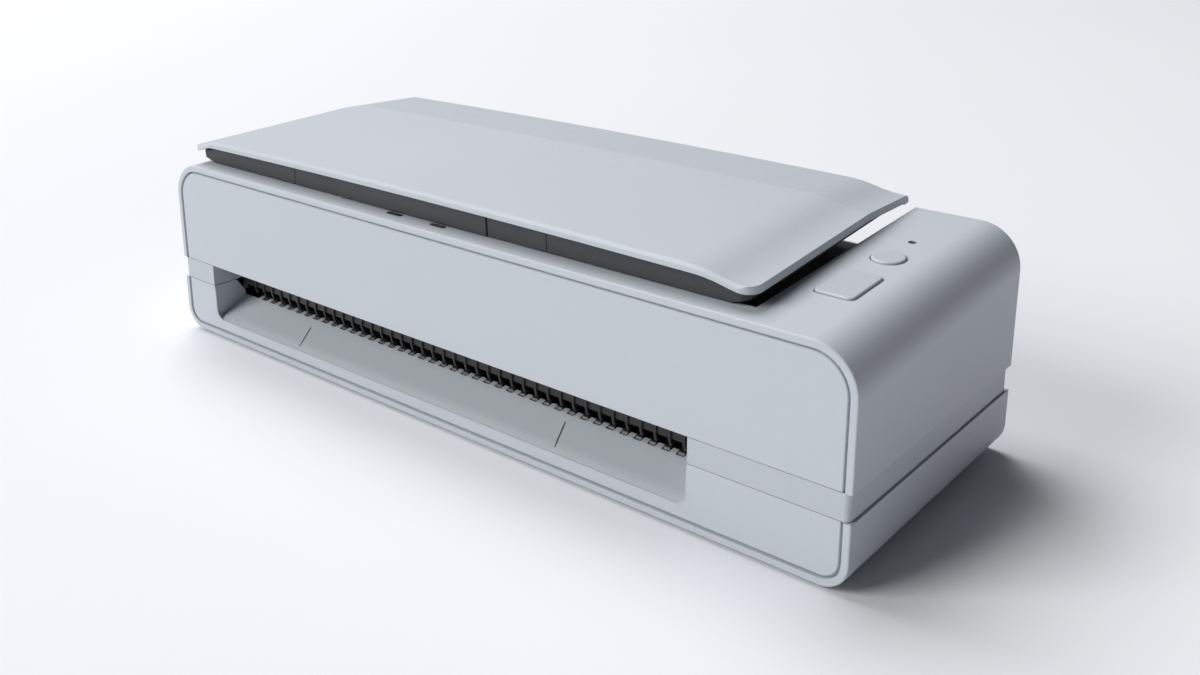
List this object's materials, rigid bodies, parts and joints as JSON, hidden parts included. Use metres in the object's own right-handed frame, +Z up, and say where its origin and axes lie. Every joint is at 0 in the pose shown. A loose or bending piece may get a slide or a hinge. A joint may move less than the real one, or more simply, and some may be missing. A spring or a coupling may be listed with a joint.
{
  "type": "sheet fed document scanner",
  "caption": "Low, wide desktop scanner: lid opens into a paper chute with sliding guides; rollers draw sheets past two image sensors; front slot for cards.",
  "frame": {"origin": "centre of the bounding box at table level, under the rubber feet", "axes": "+X to the user's right along the width, +Y towards the back, +Z up; the front face looks along -Y"},
  "size_m": [0.296, 0.105, 0.083],
  "materials": {
    "pale_casing": "fine matt texture, pale cool grey",
    "band_plastic": "fine matt texture, slightly darker than the cases",
    "dark_plastic": "matt charcoal, fine texture",
    "guide_plastic": "smooth satin black-brown where sheets slide",
    "button_plastic": "pale satin caps",
    "lamp_lens": "clear satin light pipe",
    "rubber_foot": "dull black rubber",
    "roller_rubber": "ground grey rubber",
    "belt_rubber": "black rubber with a fabric back",
    "idler_plastic": "white acetal",
    "gear_plastic": "off-white acetal",
    "bush_plastic": "black acetal",
    "plate_steel": "zinc plated sheet",
    "shaft_steel": "ground steel",
    "spring_steel": "rolled spring strip",
    "screw_steel": "zinc plated screws",
    "motor_can": "drawn steel can",
    "sensor_housing": "black glass filled plastic",
    "sensor_glass": "clear float glass",
    "board_laminate": "green solder mask",
    "chip_plastic": "black moulded packages",
    "port_plastic": "black moulded jack",
    "port_shell": "plated pressed shell"
  },
  "bodies": {
    "base": {"lower_case": "pale_casing", "upper_case": "pale_casing", "mid_frame": "band_plastic", "front_panel": "pale_casing", "entry_ramp": "pale_casing", "lower_paper_guide": "guide_plastic", "upper_paper_guide": "guide_plastic", "rear_lower_guide": "guide_plastic", "rear_upper_guide": "guide_plastic", "feed_cover": "dark_plastic", "rear_panel": "pale_casing", "dc_inlet": "port_plastic", "usb_socket": "port_shell", "rubber_feet": "rubber_foot", "case_screws": "screw_steel", "side_frame_left": "plate_steel", "side_frame_right": "plate_steel", "shaft_bushes": "bush_plastic", "feed_belt": "belt_rubber", "pick_belt": "belt_rubber", "exit_belt": "belt_rubber", "motor": "motor_can", "motor_bracket": "plate_steel", "pinch_springs": "spring_steel", "lower_sensor": "sensor_housing", "upper_sensor": "sensor_housing", "sensor_glasses": "sensor_glass", "main_board": "board_laminate", "board_parts": "chip_plastic", "panel_board": "board_laminate", "check_lamp": "lamp_lens", "hinge_pins": "shaft_steel"},
    "feed_roller": {"feed_shaft": "shaft_steel", "feed_rollers": "roller_rubber", "feed_gear": "gear_plastic", "feed_pulleys": "gear_plastic"},
    "eject_roller": {"eject_shaft": "shaft_steel", "eject_rollers": "roller_rubber", "eject_pulleys": "gear_plastic"},
    "exit_roller": {"exit_shaft": "shaft_steel", "exit_rollers": "roller_rubber", "exit_pulley": "gear_plastic"},
    "pick_roller": {"pick_shaft": "shaft_steel", "pick_rollers": "roller_rubber", "pick_pulley": "gear_plastic"},
    "brake_roller": {"brake_shaft": "shaft_steel", "brake_rollers": "roller_rubber"},
    "feed_pinch": {"feed_idler": "idler_plastic"},
    "eject_pinch": {"eject_idler": "idler_plastic"},
    "exit_pinch": {"exit_idler": "idler_plastic"},
    "motor_rotor": {"motor_pinion": "gear_plastic"},
    "scan_key": {"scan_button": "button_plastic"},
    "power_key": {"power_button": "button_plastic"},
    "lid": {"lid_cover": "pale_casing", "lid_tray": "dark_plastic"},
    "chute_frame": {"extension_frame": "dark_plastic"},
    "chute_grip": {"extension_grip": "dark_plastic"},
    "guide_left": {"side_guide_left": "dark_plastic"},
    "guide_right": {"side_guide_right": "dark_plastic"},
    "guide_gear": {"guide_pinion": "gear_plastic"}
  },
  "joints": [
    {"name": "feed_spin", "type": "hinge", "parent": "base", "child": "feed_roller", "pos_m": [0, 0.014, 0.02355], "axis": [1, 0, 0], "continuous": true},
    {"name": "eject_spin", "type": "hinge", "parent": "base", "child": "eject_roller", "pos_m": [0, -0.02, 0.02355], "axis": [1, 0, 0], "continuous": true},
    {"name": "exit_spin", "type": "hinge", "parent": "base", "child": "exit_roller", "pos_m": [0, -0.0299, 0.0495], "axis": [1, 0, 0], "continuous": true},
    {"name": "pick_spin", "type": "hinge", "parent": "base", "child": "pick_roller", "pos_m": [0, 0.025, 0.047], "axis": [1, 0, 0], "continuous": true},
    {"name": "brake_spin", "type": "hinge", "parent": "base", "child": "brake_roller", "pos_m": [0, 0.0402, 0.045], "axis": [1, 0, 0], "continuous": true},
    {"name": "feed_pinch_spin", "type": "hinge", "parent": "base", "child": "feed_pinch", "pos_m": [0, 0.014, 0.01035], "axis": [1, 0, 0], "continuous": true},
    {"name": "eject_pinch_spin", "type": "hinge", "parent": "base", "child": "eject_pinch", "pos_m": [0, -0.02, 0.01035], "axis": [1, 0, 0], "continuous": true},
    {"name": "exit_pinch_spin", "type": "hinge", "parent": "base", "child": "exit_pinch", "pos_m": [0, -0.0402, 0.0495], "axis": [1, 0, 0], "continuous": true},
    {"name": "motor_spin", "type": "hinge", "parent": "base", "child": "motor_rotor", "pos_m": [0, 0.03204, 0.03012], "axis": [1, 0, 0], "continuous": true},
    {"name": "scan_press", "type": "slide", "parent": "base", "child": "scan_key", "axis": [0, 0.0595, -0.9982], "range_m": [0, 0.0005], "stiffness_N_per_m": 1500, "springref_m": -0.0005},
    {"name": "power_press", "type": "slide", "parent": "base", "child": "power_key", "axis": [0, 0.0595, -0.9982], "range_m": [0, 0.0005], "stiffness_N_per_m": 1500, "springref_m": -0.0005},
    {"name": "lid_hinge", "type": "hinge", "parent": "base", "child": "lid", "pos_m": [0, 0.0504, 0.07824], "axis": [-1, 0, 0], "range_deg": [0, 110]},
    {"name": "chute_slide", "type": "slide", "parent": "lid", "child": "chute_frame", "axis": [0, -0.9982, -0.0595], "range_m": [0, 0.04]},
    {"name": "grip_slide", "type": "slide", "parent": "chute_frame", "child": "chute_grip", "axis": [0, -0.9982, -0.0595], "range_m": [0, 0.038]},
    {"name": "guide_left_slide", "type": "slide", "parent": "lid", "child": "guide_left", "axis": [1, 0, 0], "range_m": [0, 0.08]},
    {"name": "guide_right_slide", "type": "slide", "parent": "lid", "child": "guide_right", "axis": [-1, 0, 0], "range_m": [0, 0.08]},
    {"name": "guide_gear_spin", "type": "hinge", "parent": "lid", "child": "guide_gear", "pos_m": [-0.0157, 0.02361, 0.07755], "axis": [0, -0.0595, 0.9982], "range_deg": [0, 917]}
  ],
  "couplings": [
    {"joint": "eject_spin", "follows": "feed_spin", "ratio": 1},
    {"joint": "exit_spin", "follows": "feed_spin", "ratio": 1},
    {"joint": "pick_spin", "follows": "feed_spin", "ratio": 1},
    {"joint": "motor_spin", "follows": "feed_spin", "ratio": -3},
    {"joint": "guide_left_slide", "follows": "guide_right_slide", "ratio": 1},
    {"joint": "guide_gear_spin", "follows": "guide_right_slide", "rad_per_m": 200}
  ]
}
